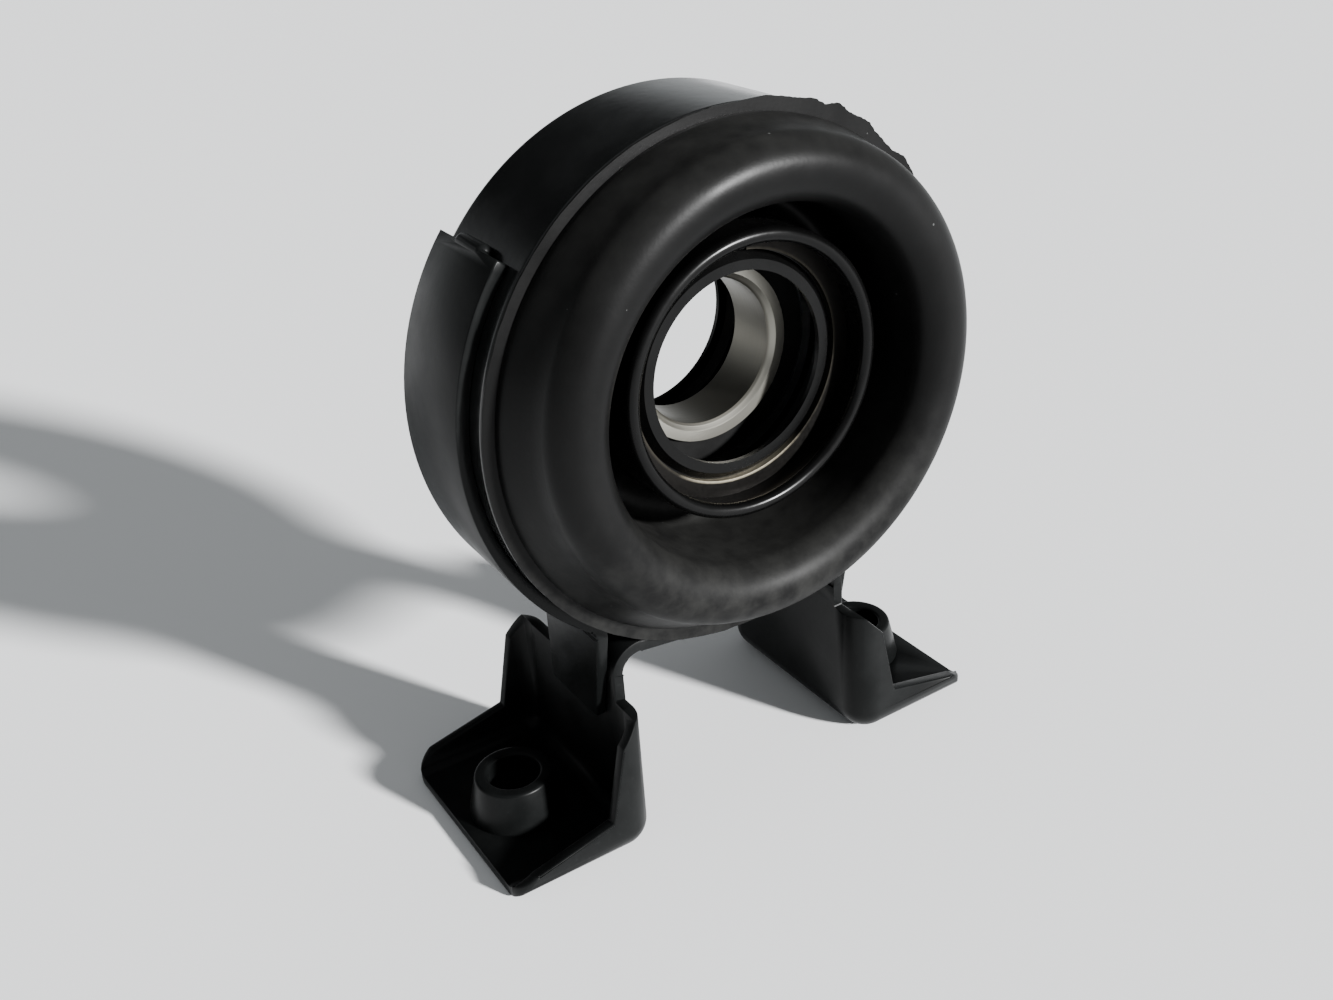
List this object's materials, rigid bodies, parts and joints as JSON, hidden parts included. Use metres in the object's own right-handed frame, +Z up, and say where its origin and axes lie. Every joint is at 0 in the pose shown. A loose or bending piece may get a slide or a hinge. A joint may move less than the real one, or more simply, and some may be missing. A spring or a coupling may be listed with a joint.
{
  "type": "driveshaft centre bearing",
  "caption": "Driveshaft support bearing: a ball bearing in a rubber bellows inside a steel ring, on a pressed two-footed stand that bolts down.",
  "frame": {"origin": "middle of the bearing's bore, on its axis", "axes": "+Y along the bore towards the rear, with the rubber bulge facing -Y; +Z up, away from the feet; +X to the right seen from the bulge"},
  "size_m": [0.1432, 0.0758, 0.1762],
  "materials": {
    "bracket_paint": "semi-gloss black paint",
    "ring_paint": "semi-gloss black paint",
    "cushion_rubber": "satin black rubber",
    "sleeve_coat": "satin black coat",
    "shield_coat": "satin black coat",
    "spring_steel": "bright",
    "collar_paint": "semi-gloss black paint",
    "race_steel": "ground",
    "bore_steel": "bright ground",
    "seal_rubber": "matt black rubber",
    "cage_steel": "pressed sheet",
    "ball_steel": "polished"
  },
  "bodies": {
    "housing": {"stand": "bracket_paint", "arm_left": "bracket_paint", "arm_right": "bracket_paint", "outer_ring": "ring_paint", "rubber_cushion": "cushion_rubber", "bearing_sleeve": "sleeve_coat", "front_dust_shield": "shield_coat", "rear_dust_shield": "shield_coat", "retaining_ring": "spring_steel", "bolt_collars": "collar_paint", "outer_race": "race_steel", "front_seal": "seal_rubber", "rear_seal": "seal_rubber"},
    "shaft_race": {"inner_race": "bore_steel"},
    "ball_set": {"cage_front": "cage_steel", "cage_rear": "cage_steel", "cage_rivets": "cage_steel", "ball_1": "ball_steel", "ball_2": "ball_steel", "ball_3": "ball_steel", "ball_4": "ball_steel", "ball_5": "ball_steel", "ball_6": "ball_steel", "ball_7": "ball_steel", "ball_8": "ball_steel", "ball_9": "ball_steel", "ball_10": "ball_steel", "ball_11": "ball_steel"}
  },
  "joints": [
    {"name": "shaft_spin", "type": "hinge", "parent": "housing", "child": "shaft_race", "pos_m": [0, 0, 0], "axis": [0, 1, 0], "continuous": true},
    {"name": "ball_set_spin", "type": "hinge", "parent": "housing", "child": "ball_set", "pos_m": [0, 0, 0], "axis": [0, 1, 0], "continuous": true}
  ],
  "couplings": [
    {"joint": "ball_set_spin", "follows": "shaft_spin", "ratio": 0.4186}
  ]
}
